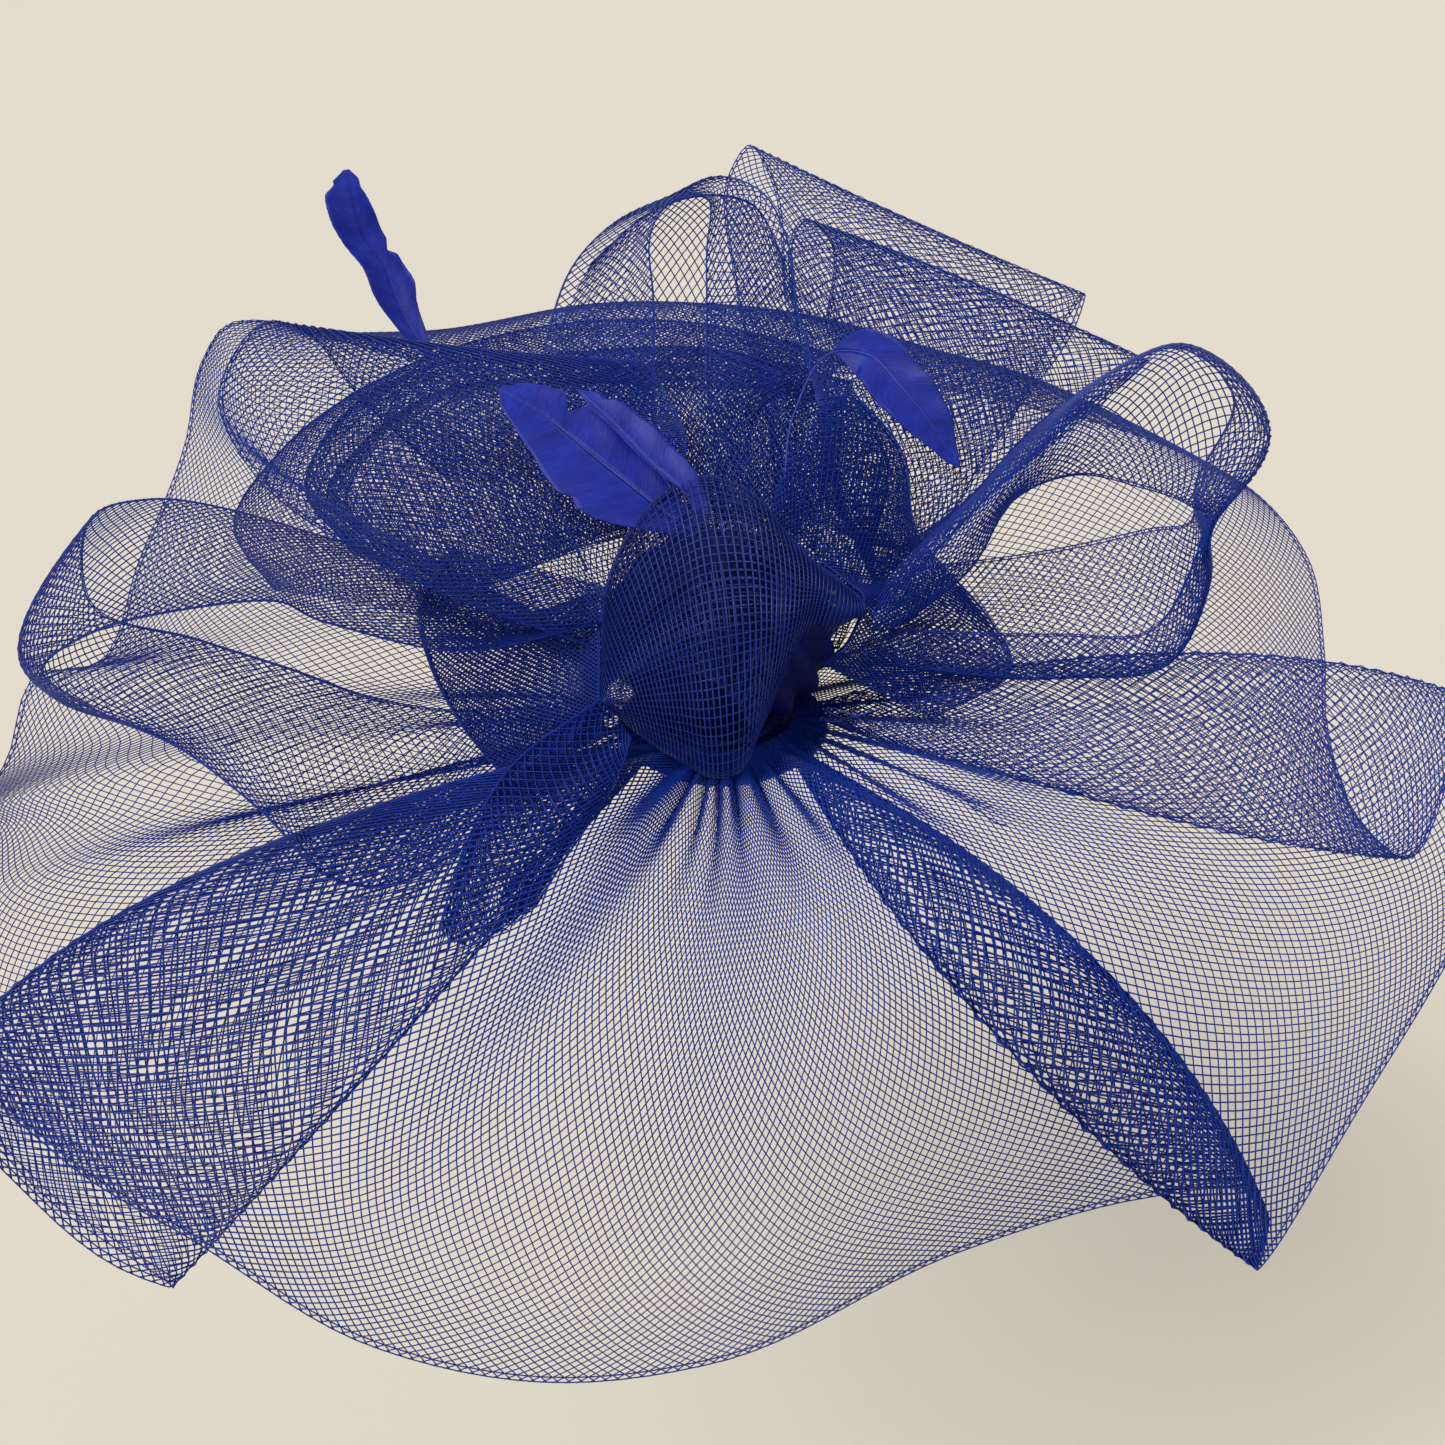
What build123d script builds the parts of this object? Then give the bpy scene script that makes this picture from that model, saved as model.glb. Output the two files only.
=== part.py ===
from build123d import *
import os

# Crinoline headpiece on a small round base with a spring clip. Millimetres, +Z up, -Y to the face.
# The origin is the head seat: the middle of the felt under the base disc.

# ---- driving dimensions ----
base_radius = 24.0
base_low, base_high = 3.0, 5.0
binding_thick, binding_lap = 1.5, 2.5
pad_radius = 22.0
pad_split = 4.0
neck_radius, neck_height = 17.0, 7.0
shoulder_radius, shoulder_height = 28.0, 7.5
post_radius, post_top = 12.0, 9.0
knot_centre = (0.0, -4.0, 30.5)
knot_size = (30.0, 28.0, 31.0)
crin = 0.8
clip_x, clip_y, clip_z = 10.0, 9.0, -3.4
pin_radius, pin_play = 0.8, 0.05

os.makedirs("parts", exist_ok=True)


def save(shape, name):
    """Writes one node as its own file."""
    shape.label = name
    export_step(shape, f"parts/{name}.step")


def cylinder(radius, low, high):
    return Pos(0, 0, (low + high) / 2) * Cylinder(radius, high - low)


def bar(low, high):
    """A box between two corners."""
    size = [b - a for a, b in zip(low, high)]
    middle = [(a + b) / 2 for a, b in zip(low, high)]
    return Pos(*middle) * Box(*size)


def quad_face(first, second):
    return Face.make_surface_from_curves(first, second)


def strip(near, far, thickness=crin):
    """A ruled strip of crin between two guide curves, closed all round."""
    count = len(near)
    skins = []
    for side in (-0.5, 0.5):
        moved_near, moved_far = [], []
        for i in range(count):
            before, after = max(i - 1, 0), min(i + 1, count - 1)
            run = Vector(*near[after]) - Vector(*near[before])
            run = run + Vector(*far[after]) - Vector(*far[before])
            across = Vector(*far[i]) - Vector(*near[i])
            step = run.cross(across).normalized() * (thickness * side)
            moved_near.append(Vector(*near[i]) + step)
            moved_far.append(Vector(*far[i]) + step)
        skins.append((Edge.make_spline(moved_near), Edge.make_spline(moved_far)))
    (low_near, low_far), (high_near, high_far) = skins
    faces = [
        quad_face(low_near, low_far),
        quad_face(high_near, high_far),
        quad_face(low_near, high_near),
        quad_face(low_far, high_far),
    ]
    for end in (0, 1):
        one = Edge.make_line(low_near @ end, high_near @ end)
        two = Edge.make_line(low_far @ end, high_far @ end)
        faces.append(quad_face(one, two))
    return Solid(Shell(faces))


def ring_skin(rings, thickness=crin):
    """A closed skirt through several closed guide curves, upper and lower skin joined at both rims."""
    edges = []
    for ring in rings:
        low = Edge.make_spline([Vector(x, y, z) for x, y, z in ring], periodic=True)
        high = Edge.make_spline([Vector(x, y, z + thickness) for x, y, z in ring], periodic=True)
        edges.append((low, high))
    faces = []
    for (low_a, high_a), (low_b, high_b) in zip(edges, edges[1:]):
        faces.append(quad_face(low_a, low_b))
        faces.append(quad_face(high_a, high_b))
    for low, high in (edges[0], edges[-1]):
        faces.append(quad_face(low, high))
    return Solid(Shell(faces))


# ---- base disc with its bound edge, and the felt under it ----
save(cylinder(base_radius, base_low, base_high), "base_disc")
outer = base_radius + binding_thick
binding = cylinder(outer, base_low - 0.5, base_high + 0.5)
binding -= cylinder(base_radius, base_low - 1, base_high + 1)
lip = cylinder(outer, base_high, base_high + 0.5)
lip += cylinder(outer, base_low - 0.5, base_low)
lip -= cylinder(base_radius - binding_lap, base_low - 1, base_high + 1)
save((binding + lip).solids()[0], "base_binding")
pad = cylinder(pad_radius, 0, base_low)
pad -= pad & (binding + lip)
for name, near, far in (("felt_pad_front", -pad_radius, pad_split), ("felt_pad_back", pad_split, pad_radius)):
    half = bar((-pad_radius, near, 0), (pad_radius, far, base_low))
    save((pad & half).solids()[0], name)

# ---- spring clip under the back half of the pad, sewn on at its four corners ----
plate = bar((-17, clip_y - 4, -0.8), (13.5, clip_y + 4, 0))
for side in (-1, 1):
    ear_y = clip_y + side * 3.7
    ear = bar((clip_x - 2.4, ear_y - 0.3, clip_z - 2.4), (clip_x + 2.4, ear_y + 0.3, 0))
    plate += ear
pin_line = Pos(clip_x, clip_y, clip_z) * Rot(90, 0, 0)
plate -= pin_line * Cylinder(pin_radius + pin_play, 12)
save(plate.solids()[0], "clip_base")
pin = pin_line * Cylinder(pin_radius, 9.4)
save(pin, "clip_hinge_pin")

jaw_outline = Polyline(
    (-19.6, -0.95), (-19.6, -1.75), (-15.0, -2.2), (clip_x - 1.2, -4.6), (clip_x + 1.6, -5.0),
    (clip_x + 14.0, -10.6), (clip_x + 14.4, -9.8), (clip_x + 1.8, -3.6), (clip_x - 1.2, -3.6),
    (-15.0, -1.35), (-17.4, -0.95), close=True,
)
lever = extrude(Plane.XZ.offset(-clip_y - 2.2) * make_face(jaw_outline), 4.4)
lever += pin_line * Cylinder(1.7, 4.4)
lever -= pin_line * Cylinder(pin_radius + pin_play, 12)
save(lever.solids().sort_by(SortBy.VOLUME)[-1], "clip_lever")

spring_parts = []
for side in (-1, 1):
    coil = Cylinder(1.45, 0.6) - Cylinder(0.95, 2)
    spring_parts.append(pin_line * Pos(0, 0, side * 2.8) * coil)
    leg_y = clip_y + side * 2.8
    leg = bar((clip_x - 9, leg_y - 0.25, -1.3), (clip_x - 0.9, leg_y + 0.25, -0.8))
    leg += bar((clip_x - 1.4, leg_y - 0.25, clip_z + 0.2), (clip_x - 0.9, leg_y + 0.25, -0.8))
    spring_parts[-1] = (spring_parts[-1] + leg).solids()[0]
save(Compound(spring_parts), "clip_spring")

stitches = []
for x in (-15.5, -3.0):
    for side in (-1, 1):
        inner_y, outer_y = clip_y + side * 3.0, clip_y + side * 4.6
        loop = bar((x - 0.3, min(inner_y, outer_y), -1.4), (x + 0.3, max(inner_y, outer_y), -0.8))
        loop += bar((x - 0.3, min(outer_y, outer_y - side * 0.6), -1.4), (x + 0.3, max(outer_y, outer_y - side * 0.6), 0))
        stitches.append(loop.solids()[0])
save(Compound(stitches), "clip_stitches")

# ---- gathered core, its binding thread, and the knot wrapped over it ----
save(cylinder(post_radius, base_high, post_top), "gathered_core")
wrap = Pos(0, 0, 6.3) * Torus(post_radius + 1.1, 0.8)
save(wrap, "gathering_thread")
knot = Pos(*knot_centre) * Rot(20, 0, 0) * scale(Sphere(1), by=knot_size)
knot -= bar((-50, -50, -10), (50, 50, post_top))
save(knot.solids()[0], "knot")

# ---- brim: rim and half-way guides, counted round from the front ----
brim_guides = (
    ((-39, -107, -96), (-12, -80, -18)),
    ((0, -106, -92), (4, -82, -16)),
    ((51, -91, -74), (28, -74, -14)),
    ((93, -83, -68), (48, -62, -10)),
    ((119, -95, -72), (58, -64, -14)),
    ((141, -69, -54), (78, -50, -8)),
    ((163, -48, -31), (95, -40, 0)),
    ((181, -30, -10), (104, -25, 9)),
    ((178, -10, 16), (100, -8, 21)),
    ((152, 18, 15), (90, 10, 18)),
    ((153, 47, 26), (83, 32, 22)),
    ((145, 73, 34), (74, 50, 26)),
    ((117, 100, 40), (57, 62, 30)),
    ((63, 128, 46), (33, 74, 36)),
    ((2, 138, 52), (0, 80, 40)),
    ((-60, 135, 54), (-34, 78, 38)),
    ((-105, 122, 62), (-60, 71, 34)),
    ((-140, 106, 68), (-76, 60, 30)),
    ((-147, 78, 45), (-84, 44, 24)),
    ((-158, 48, 20), (-90, 28, 14)),
    ((-170, 15, 6), (-98, 6, 6)),
    ((-180, -16, -10), (-104, -14, -4)),
    ((-182, -46, -34), (-102, -34, -14)),
    ((-157, -78, -76), (-84, -50, -20)),
    ((-127, -92, -92), (-64, -62, -20)),
    ((-84, -106, -88), (-40, -72, -18)),
)


def on_circle(guide, radius, height):
    """The point of a level circle that lies in the same direction as the guide."""
    x, y, _ = guide
    length = (x * x + y * y) ** 0.5
    return (radius * x / length, radius * y / length, height)


brim_rings = [[on_circle(middle, neck_radius, neck_height) for _, middle in brim_guides]]
shoulder = []
for _, middle in brim_guides:
    rise = 0.12 * max(middle[2] - shoulder_height, 0)
    shoulder.append(on_circle(middle, shoulder_radius, shoulder_height + rise))
brim_rings += [shoulder, [middle for _, middle in brim_guides], [rim for rim, _ in brim_guides]]
save(ring_skin(brim_rings), "brim")

# ---- loops and folded sheets: the two selvedges of each strip of crin ----
strips = {
    "loop_right": (
        [(41, 0, 34), (57, 4, 46), (68, 6, 64), (82, 2, 76), (99, 2, 83), (112, -2, 72), (107, -6, 56),
         (108, -8, 44), (100, -12, 32), (78, -12, 28), (42, -4, 26)],
        [(43, 26, 34), (61, 32, 44), (74, 30, 58), (88, 26, 70), (103, 24, 76), (116, 22, 68), (112, 18, 54),
         (112, 16, 45), (104, 14, 38), (82, 14, 34), (45, 20, 28)],
    ),
    "arch_loop": (
        [(-26, 38, 38), (-32, 54, 56), (-43, 68, 74), (-43, 75, 84), (-37, 81, 94), (-27, 87, 102), (-14, 91, 107),
         (-1, 91, 109), (7, 85, 104), (10, 78, 94), (11, 70, 80), (10, 58, 62), (8, 38, 38)],
        [(-14, 32, 38), (-16, 46, 56), (-20, 58, 74), (-20, 64, 86), (-21, 70, 94), (-17, 76, 100), (-10, 78, 102),
         (-5, 76, 101), (-3, 72, 96), (-2, 66, 87), (-2, 60, 76), (-2, 48, 58), (-2, 34, 38)],
    ),
    "crown_fold_back": (
        [(14, 56, 36), (16, 88, 56), (10, 112, 78), (5, 128, 102), (9, 137, 110), (15, 137, 101), (20, 127, 84)],
        [(38, 50, 28), (62, 62, 44), (80, 74, 60), (93, 82, 76), (98, 90, 82), (95, 96, 74), (84, 94, 58)],
    ),
    "crown_fold_front": (
        [(24, 38, 46), (23, 54, 63), (20, 74, 79), (19, 88, 91), (24, 95, 95), (29, 95, 88), (29, 87, 76)],
        [(38, 34, 34), (50, 32, 46), (71, 38, 58), (92, 48, 70), (103, 57, 75), (99, 63, 66), (84, 58, 58)],
    ),
    "loop_upper_left": (
        [(-38, 2, 34), (-76, 6, 48), (-107, 16, 65), (-116, 30, 75), (-108, 47, 84), (-101, 56, 77),
         (-94, 57, 65)],
        [(-14, 26, 58), (-15, 38, 64), (-18, 46, 68), (-24, 52, 72), (-32, 56, 73), (-35, 58, 68),
         (-38, 57, 61)],
    ),
    "loop_lower_left": (
        [(-38, -4, 28), (-60, -12, 31), (-85, -16, 40), (-113, -21, 45), (-131, -25, 44), (-146, -30, 38),
         (-134, -34, 30), (-111, -38, 23), (-95, -45, 16), (-79, -52, 8), (-66, -51, 6),
         (-52, -44, 7), (-36, -24, 14)],
        [(-38, 16, 26), (-56, 17, 28), (-75, 19, 35), (-106, 22, 43), (-134, 22, 45), (-148, 16, 38),
         (-138, 8, 30), (-114, 2, 24), (-96, -4, 20), (-78, -10, 16), (-64, -12, 14),
         (-52, -12, 14), (-38, -8, 16)],
    ),
    "back_ruffle": (
        [(-66, 32, 30), (-56, 36, 35), (-46, 40, 38), (-34, 45, 41), (-18, 48, 43), (-4, 50, 44), (6, 50, 44)],
        [(-92, 58, 34), (-96, 73, 43), (-88, 85, 50), (-68, 93, 56), (-40, 95, 59), (-12, 95, 60), (4, 93, 59)],
    ),
    "petal_left": (
        [(-13, 42, 72), (-10, 49, 74), (-3, 53, 75), (5, 50, 74), (13, 43, 72)],
        [(-6, 31, 56), (-4, 34, 56), (0, 36, 56), (5, 34, 56), (10, 29, 55)],
    ),
    "petal_right": (
        [(20, 47, 68), (28, 46, 65), (35, 38, 58), (37, 30, 53), (36, 20, 45)],
        [(16, 29, 52), (20, 27, 49), (24, 24, 46), (28, 21, 42), (32, 15, 38)],
    ),
    "arch_panel": (
        [(-43, 67, 66), (-27, 69, 65), (-11, 68, 64), (5, 68, 64), (20, 67, 66)],
        [(-34, 84, 92), (-19, 91, 103), (-6, 93, 107), (8, 91, 105), (16, 82, 93)],
    ),
    "fold_lower_left": (
        [(-27, -18, 21), (-46, -36, 14), (-53, -51, 6), (-58, -64, -7)],
        [(-20, -28, 17), (-26, -39, 9), (-34, -51, 2), (-40, -58, -5)],
    ),
}
for name, (near, far) in strips.items():
    save(strip(near, far), name)

# ---- feathers: a flat vane, and a quill that runs under it and bends down to the knot ----
feathers = {
    "front_left": ((-9, 6, 65), (-51, 36, 73), 18, (0.1, -0.6, 0.8), [(-3, 2, 64)]),
    "front_right": ((-5, 8, 69), (-33, 29, 81), 12, (0.1, -0.6, 0.8), [(0, 4, 66)]),
    "right": ((37, 48, 82), (54, 34, 56), 20, (0.45, -0.75, 0.5), [(28, 54, 80), (18, 50, 64), (15, 34, 50)]),
    "tall": ((-68, 70, 82), (-97, 90, 112), 11, (0.3, -0.75, 0.6), [(-60, 66, 66), (-46, 46, 48), (-33, 22, 34)]),
}
quill_radius = 0.4
for name, (root, tip, width, facing, bends) in feathers.items():
    start, end = Vector(*root), Vector(*tip)
    along = (end - start).normalized()
    side = along.cross(Vector(*facing)).normalized()
    up = side.cross(along).normalized()
    length = (end - start).length
    lay = Plane(origin=start, x_dir=along, z_dir=up)
    outline = Spline(
        (0, 0.6), (length * 0.25, width * 0.4), (length * 0.6, width * 0.5), (length * 0.9, width * 0.3), (length, 0),
        (length * 0.9, -width * 0.3), (length * 0.6, -width * 0.5), (length * 0.25, -width * 0.4), (0, -0.6),
    )
    outline = Wire([outline, Edge.make_line((0, -0.6), (0, 0.6))])
    sheet = lay * Pos(0, 0, 1) * Face(outline)
    vane = Solid.extrude(sheet, up * 0.3)
    save(vane, f"feather_{name}_vane")
    middle = start + up * (0.9 - quill_radius)
    line = Edge.make_line(middle + along * (length * 0.85), middle)
    stops = [middle] + [Vector(*bend) for bend in bends]
    last = (stops[-1] - stops[-2]).normalized()
    stem = Edge.make_spline(stops, tangents=[along * -1, last])
    path = Wire([line, stem])
    section = Plane(origin=path @ 0, z_dir=path % 0) * Circle(quill_radius)
    save(sweep(section, path=path).solids()[0], f"feather_{name}_quill")
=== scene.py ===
import bpy
import numpy as np
from math import atan2, cos, pi, radians, sin
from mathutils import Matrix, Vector


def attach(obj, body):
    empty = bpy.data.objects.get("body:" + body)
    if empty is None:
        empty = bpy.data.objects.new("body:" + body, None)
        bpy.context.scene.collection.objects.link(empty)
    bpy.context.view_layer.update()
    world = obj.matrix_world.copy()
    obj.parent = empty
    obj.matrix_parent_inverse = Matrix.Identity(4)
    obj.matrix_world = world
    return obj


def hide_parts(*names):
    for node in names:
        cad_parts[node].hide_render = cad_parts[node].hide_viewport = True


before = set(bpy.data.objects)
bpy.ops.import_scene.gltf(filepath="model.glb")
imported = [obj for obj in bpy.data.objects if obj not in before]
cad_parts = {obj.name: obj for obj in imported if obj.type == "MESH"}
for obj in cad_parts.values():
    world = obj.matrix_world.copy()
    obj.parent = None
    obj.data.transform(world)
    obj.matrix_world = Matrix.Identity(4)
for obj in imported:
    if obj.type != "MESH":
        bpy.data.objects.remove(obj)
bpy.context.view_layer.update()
mm = 0.001
dice = np.random.default_rng(7)
print("frame loaded:", len(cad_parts), "nodes")

# Guide points are in millimetres, in the same frame as the CAD.


def throughPoints(points, knots, at):
    # cubic through the guide points: h00*p0 + h10*m0 + h01*p1 + h11*m1, with weighted chord slopes m
    gap = np.diff(knots)
    wide = (-1,) + (1,) * (points.ndim - 1)
    slope = np.diff(points, axis=0) / gap.reshape(wide)
    share = (gap[:-1] / (gap[:-1] + gap[1:])).reshape(wide)
    tangent = np.concatenate([slope[:1], slope[:-1] * (1 - share) + slope[1:] * share, slope[-1:]])
    cell = np.clip(np.searchsorted(knots, at, side="right") - 1, 0, len(points) - 2)
    h = gap[cell]
    s = ((at - knots[cell]) / h).reshape(wide)
    h = h.reshape(wide)
    return (
        (2 * s**3 - 3 * s**2 + 1) * points[cell] + (s**3 - 2 * s**2 + s) * h * tangent[cell]
        + (3 * s**2 - 2 * s**3) * points[cell + 1] + (s**3 - s**2) * h * tangent[cell + 1]
    )


def smoothLine(points, count):
    # the guide points as a smooth line of count points, evenly spaced along it
    points = np.array(points, float)
    knots = np.concatenate([[0], np.cumsum(np.linalg.norm(np.diff(points, axis=0), axis=1))])
    return throughPoints(points, knots, np.linspace(0, knots[-1], count))


def unit(vectors):
    return vectors / np.maximum(np.linalg.norm(vectors, axis=-1, keepdims=True), 1e-9)


def acrossRails(rails, v):
    # the one polynomial through all the rails: sum of rail * product((v - vk) / (vj - vk))
    count = rails.shape[1]
    places = np.linspace(0, 1, count)
    out = np.zeros((len(v), 3))
    for j in range(count):
        weight = np.ones_like(v)
        for k in range(count):
            if k != j:
                weight = weight * (v - places[k]) / (places[j] - places[k])
        out += weight[:, None] * rails[:, j]
    return out


class CrinSheet:
    # a strip of crin: u is millimetres along it, v runs 0 to 1 from one selvedge to the other

    def __init__(self, stations, closed=False, pleats=None):
        stations = np.array(stations, float)
        self.closed = closed
        self.pleats = pleats
        if closed:
            stations = np.concatenate([stations[-2:], stations, stations[:3]])
        run = np.linalg.norm(np.diff(stations, axis=0), axis=2).max(axis=1)
        self.stations = stations
        self.knots = np.concatenate([[0], np.cumsum(np.maximum(run, 0.001))])
        self.first = self.knots[2] if closed else 0.0
        self.length = (self.knots[-3] if closed else self.knots[-1]) - self.first
        self.width = np.linalg.norm(np.diff(stations, axis=1), axis=2).sum(axis=1).mean()

    def at(self, u, v):
        lift = 0
        if self.pleats:
            # gathers fade as (1 - v/reach)^2; they crowd the threads along u and lift them in soft ridges
            fade = np.clip(1 - v / self.pleats["reach"], 0, 1) ** 2
            turn = 2 * pi * u / self.length
            phase = self.pleats["count"] * turn + 1.6 * np.sin(5 * turn) + 1.1 * np.sin(11 * turn)
            wave = self.length / self.pleats["count"] / (2 * pi)
            u = u + self.pleats["crowd"] * wave * fade * np.sin(phase)
            lift = self.pleats["height"] * 4 * fade * (1 - fade) * np.cos(phase)
        u = np.mod(u, self.length) + self.first if self.closed else np.clip(u, 0, self.length)
        rails = throughPoints(self.stations, self.knots, u.ravel())
        points = acrossRails(rails, v.ravel()).reshape(*u.shape, 3)
        points[..., 2] += lift
        return points

    def normal(self, u, v):
        # cross product of the two small steps du and dv
        step = 0.4
        du = self.at(u + step, v) - self.at(u - step, v)
        dv = self.at(u, np.clip(v + 0.01, 0, 1)) - self.at(u, np.clip(v - 0.01, 0, 1))
        return unit(np.cross(du, dv))


def railStations(rails):
    # rails are written one after another; stations want them side by side
    return np.transpose(np.array(rails, float), (1, 0, 2))


def threadTubes(lines, normals, radius, sides=3):
    # each line becomes a tube: centre + radius * (cos a * side + sin a * normal)
    tangent = unit(np.gradient(lines, axis=1))
    side = unit(np.cross(tangent, normals))
    normal = np.cross(side, tangent)
    angle = (np.arange(sides) * 2 * pi / sides + pi / 2)[:, None]
    thick = np.broadcast_to(radius, lines.shape[:2])[:, :, None, None]
    ring = lines[:, :, None] + thick * (np.cos(angle) * side[:, :, None] + np.sin(angle) * normal[:, :, None])
    threads, stops = lines.shape[:2]
    index = np.arange(threads * stops * sides).reshape(threads, stops, sides)
    a, b = index[:, :-1], index[:, 1:]
    faces = np.stack([a, np.roll(a, -1, axis=2), np.roll(b, -1, axis=2), b], axis=-1)
    return ring.reshape(-1, 3), faces.reshape(-1, 4)


def gridFaces(rows, columns, closed=False, start=0):
    # quads between neighbouring rows; closed joins the last column to the first
    index = np.arange(rows * columns).reshape(rows, columns) + start
    ahead = np.roll(index, -1, axis=1) if closed else index[:, 1:]
    here = index if closed else index[:, :-1]
    return np.stack([here[:-1], ahead[:-1], ahead[1:], here[1:]], axis=-1).reshape(-1, 4)


def meshObject(name, points, faces, material, uv=None):
    mesh = bpy.data.meshes.new(name)
    mesh.vertices.add(len(points))
    mesh.vertices.foreach_set("co", (points * mm).ravel())
    mesh.loops.add(faces.size)
    mesh.loops.foreach_set("vertex_index", faces.ravel())
    mesh.polygons.add(len(faces))
    mesh.polygons.foreach_set("loop_start", np.arange(len(faces)) * faces.shape[1])
    mesh.polygons.foreach_set("use_smooth", np.full(len(faces), True))
    if uv is not None:
        layer = mesh.uv_layers.new(name="alongAcross")
        layer.data.foreach_set("uv", uv[faces.ravel()].ravel())
    mesh.update(calc_edges=True)
    mesh.validate()
    mesh.materials.append(material)
    made = bpy.data.objects.new(name, mesh)
    bpy.context.scene.collection.objects.link(made)
    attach(made, "fascinator")
    return made


def biasThreads(sheet, look, turn, part):
    # u = start + turn * width * s, with v = s - k/(2 pi) * sin(2 pi s) so that threads run flatter at the selvedges
    width, length = sheet.width, sheet.length
    low = 0.0 if sheet.closed or turn < 0 else -width
    high = length if sheet.closed or turn > 0 else length + width
    low, high = low + (high - low) * part[0], low + (high - low) * part[1]
    count = max(int(round((high - low) / look["pitch"])), 3)
    start = low + (np.arange(count) + 0.25 + 0.25 * turn) * (high - low) / count
    s0, s1 = np.zeros(count), np.ones(count)
    if not sheet.closed:
        ends = np.sort(np.stack([(0 - start) * turn / width, (length - start) * turn / width]), axis=0)
        s0, s1 = np.clip(ends[0], 0, 1), np.clip(ends[1], 0, 1)
        keep = s1 - s0 > 0.02
        start, s0, s1 = start[keep], s0[keep], s1[keep]
    stops = max(int(sheet.width * 1.3 / look["step"]), 6)
    s = s0[:, None] + (s1 - s0)[:, None] * np.linspace(0, 1, stops)[None]
    return start[:, None] + turn * width * s, s - look["ease"] / (2 * pi) * np.sin(2 * pi * s)


def squareThreads(sheet, look, turn, part):
    # one set of threads along the strip and one across it, both with a slight slant
    length = sheet.length
    if turn > 0:
        count, stops = int(look["fullWidth"] / look["pitch"]), int(length / look["step"])
        v = (np.arange(count) + 0.5)[:, None] / count + np.zeros(stops)
        u = np.linspace(0, length, stops) + np.zeros((count, 1))
        return u, np.clip(v + look["slant"] * (u / length - 0.5) * v * (1 - v) * 4, 0, 1)
    count, stops = int(length / look["pitch"]), int(look["fullWidth"] * 1.2 / look["step"])
    v = np.linspace(0, 1, stops) + np.zeros((count, 1))
    u = (np.arange(count) + 0.5)[:, None] * length / count + np.zeros(stops)
    return np.clip(u + look["slant"] * length * (v - 0.5), 0, length), v


def crinNet(name, sheet, look, material, threads=biasThreads, part=(0, 1)):
    # two sets of threads, one just above the other, and a few threads along each selvedge
    points, faces, total = [], [], 0
    for turn in (1, -1):
        u, v = threads(sheet, look, turn, part)
        normals = sheet.normal(u, v)
        lift = look.get("lift", 0) + turn * look["radius"] * 0.8
        radius = look["radius"] * np.ones_like(u)
        for middle, spread, extra in look.get("heavier", ()):
            # radius * (1 + extra * exp(-((share - middle) / spread)^2))
            radius *= 1 + extra * np.exp(-((np.mod(u / sheet.length, 1) - middle) / spread) ** 2)
        p, f = threadTubes(sheet.at(u, v) + normals * lift, normals, radius)
        points.append(p)
        faces.append(f + total)
        total += len(p)
    stops = int(sheet.length * (part[1] - part[0]) / look["step"]) + 2
    rows = np.array([0.0, 0.008, 0.992, 1.0])[:, None]
    u = np.linspace(sheet.length * part[0], sheet.length * part[1], stops) + 0 * rows
    v = rows + 0 * u
    normals = sheet.normal(u, v)
    p, f = threadTubes(sheet.at(u, v) + normals * look.get("lift", 0), normals, look["radius"] * 1.1)
    points.append(p)
    faces.append(f + total)
    net = meshObject(name, np.concatenate(points), np.concatenate(faces), material)
    print(name, "net of", sum(len(f) for f in faces) * 2, "triangles")
    return net


# Materials. Every one is made from noise in Object coordinates or in the piece's own UV map.


def startMaterial(name):
    material = bpy.data.materials.new(name)
    material.use_nodes = True
    tree = material.node_tree
    shader = next(n for n in tree.nodes if n.type == "BSDF_PRINCIPLED")
    return material, tree, shader


def addNode(tree, kind, settings=None, **inputs):
    node = tree.nodes.new(kind)
    for key, value in (settings or {}).items():
        setattr(node, key, value)
    for key, value in inputs.items():
        node.inputs[key.replace("_", " ")].default_value = value
    return node


def colourRamp(tree, factor, stops):
    ramp = tree.nodes.new("ShaderNodeValToRGB")
    while len(ramp.color_ramp.elements) < len(stops):
        ramp.color_ramp.elements.new(0.5)
    for element, (place, colour) in zip(ramp.color_ramp.elements, stops):
        element.position = place
        element.color = (*colour, 1)
    tree.links.new(factor, ramp.inputs["Fac"])
    return ramp.outputs["Color"]


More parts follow.
